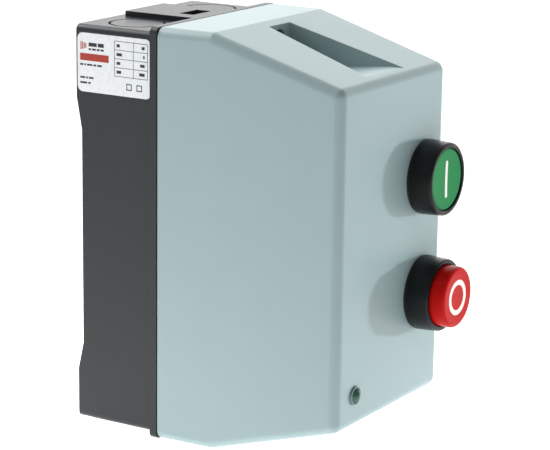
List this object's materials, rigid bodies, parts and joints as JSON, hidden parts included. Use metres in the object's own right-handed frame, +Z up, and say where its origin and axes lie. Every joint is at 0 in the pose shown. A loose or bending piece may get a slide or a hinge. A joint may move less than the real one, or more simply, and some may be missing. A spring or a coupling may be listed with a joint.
{
  "type": "enclosed motor starter",
  "caption": "Enclosed direct-on-line motor starter: dark rear box, grey sloped cover, green start and red stop buttons, lamp; contactor and overload relay inside.",
  "frame": {"origin": "on the wall plane, at the centre of the four wall holes", "axes": "+X right as seen from the front, +Y into the wall, +Z up"},
  "size_m": [0.087, 0.1391, 0.168],
  "materials": {
    "base_plastic": "moulded charcoal, fine texture",
    "rubber": "black, matt",
    "cover_plastic": "moulded light grey, satin",
    "zinc_steel": "zinc plated",
    "brass": "plain",
    "label_film": "white printed film",
    "black_plastic": "moulded black, semi-gloss",
    "green_plastic": "moulded green",
    "red_plastic": "moulded red",
    "white_inlay": "white",
    "spring_steel": "drawn wire",
    "green_lens": "clear moulded green",
    "lamp_body": "translucent white",
    "wire_insulation": "soft, black",
    "contactor_plastic": "glass-filled, black",
    "relay_cap_plastic": "light grey",
    "silvered_copper": "silver plated",
    "core_steel": "laminated",
    "bobbin_plastic": "natural",
    "enamelled_copper": "enamelled wire",
    "bimetal": "rolled",
    "blue_plastic": "moulded blue",
    "dial_plastic": "white"
  },
  "bodies": {
    "root": {"base_box": "base_plastic", "coil_bobbin": "bobbin_plastic", "coil_screws": "zinc_steel", "coil_terminals": "brass", "coil_winding": "enamelled_copper", "contactor_contacts": "silvered_copper", "contactor_front": "contactor_plastic", "contactor_lower": "contactor_plastic", "contactor_upper": "contactor_plastic", "control_wires": "wire_insulation", "cover_nuts": "brass", "din_rail": "zinc_steel", "earth_plate": "zinc_steel", "earth_screw": "zinc_steel", "fixed_core": "core_steel", "rail_clip": "zinc_steel", "rail_screws": "zinc_steel", "rating_label": "label_film", "relay_bimetals": "bimetal", "relay_control_screws": "zinc_steel", "relay_front": "relay_cap_plastic", "relay_heaters": "bimetal", "relay_housing": "contactor_plastic", "relay_pins": "silvered_copper", "relay_terminals": "silvered_copper", "reset_spring": "spring_steel", "return_springs": "spring_steel", "rim_gasket": "rubber", "terminal_block": "black_plastic", "terminal_screws": "zinc_steel", "terminal_tabs": "brass", "terminal_washers": "zinc_steel"},
    "cover": {"cover": "cover_plastic", "start_bezel": "black_plastic", "stop_bezel": "black_plastic", "panel_seals": "rubber", "lock_nuts": "black_plastic", "button_springs": "spring_steel", "lamp_holder": "black_plastic", "lamp_lens": "green_lens", "lamp_nut": "black_plastic", "lamp_light": "lamp_body", "lamp_leads": "wire_insulation", "lamp_sleeves": "brass"},
    "screw_top": {"cover_screw_top": "zinc_steel"},
    "screw_bottom": {"cover_screw_bottom": "zinc_steel"},
    "start_button": {"start_cap": "green_plastic", "start_mark": "white_inlay", "start_rod": "black_plastic"},
    "stop_button": {"stop_cap": "red_plastic", "stop_mark": "white_inlay", "stop_rod": "black_plastic"},
    "carrier": {"armature": "core_steel", "contact_carrier": "bobbin_plastic", "contact_bridges": "silvered_copper", "contact_springs": "spring_steel"},
    "reset_button": {"relay_reset_button": "blue_plastic"},
    "dial": {"current_dial": "dial_plastic"},
    "slider": {"trip_slider": "bobbin_plastic"},
    "lever": {"trip_lever": "bobbin_plastic"}
  },
  "joints": [
    {"name": "cover_off", "type": "slide", "parent": "root", "child": "cover", "axis": [0, -1, 0], "range_m": [0, 0.14]},
    {"name": "screw_top_turn", "type": "hinge", "parent": "cover", "child": "screw_top", "pos_m": [0, -0.05, 0.076], "axis": [0, -1, 0], "continuous": true},
    {"name": "screw_bottom_turn", "type": "hinge", "parent": "cover", "child": "screw_bottom", "pos_m": [0, -0.05, -0.076], "axis": [0, -1, 0], "continuous": true},
    {"name": "start_press", "type": "slide", "parent": "cover", "child": "start_button", "axis": [0, 1, 0], "range_m": [0, 0.0045], "stiffness_N_per_m": 300, "springref_m": -0.005, "deforming": ["button_springs"]},
    {"name": "stop_press", "type": "slide", "parent": "cover", "child": "stop_button", "axis": [0, 1, 0], "range_m": [0, 0.0045], "stiffness_N_per_m": 300, "springref_m": -0.005},
    {"name": "contactor_pull_in", "type": "slide", "parent": "root", "child": "carrier", "axis": [0, 1, 0], "range_m": [0, 0.0045], "stiffness_N_per_m": 500, "springref_m": -0.008, "deforming": ["return_springs"]},
    {"name": "reset_press", "type": "slide", "parent": "root", "child": "reset_button", "axis": [0, 1, 0], "range_m": [0, 0.0045], "stiffness_N_per_m": 200, "springref_m": -0.004, "deforming": ["reset_spring"]},
    {"name": "dial_turn", "type": "hinge", "parent": "root", "child": "dial", "pos_m": [0.004, -0.09, -0.022], "axis": [0, -1, 0], "range_deg": [-135, 135]},
    {"name": "trip_slide", "type": "slide", "parent": "root", "child": "slider", "axis": [1, 0, 0], "range_m": [0, 0.0015], "stiffness_N_per_m": 150, "springref_m": -0.002},
    {"name": "trip_turn", "type": "hinge", "parent": "root", "child": "lever", "pos_m": [0.033, -0.052, -0.023], "axis": [0, 1, 0], "range_deg": [-21, 0]}
  ],
  "couplings": [
    {"joint": "start_press", "follows": "contactor_pull_in", "ratio": 1},
    {"joint": "stop_press", "follows": "reset_press", "ratio": 1},
    {"joint": "trip_turn", "follows": "trip_slide", "rad_per_m": -230}
  ]
}
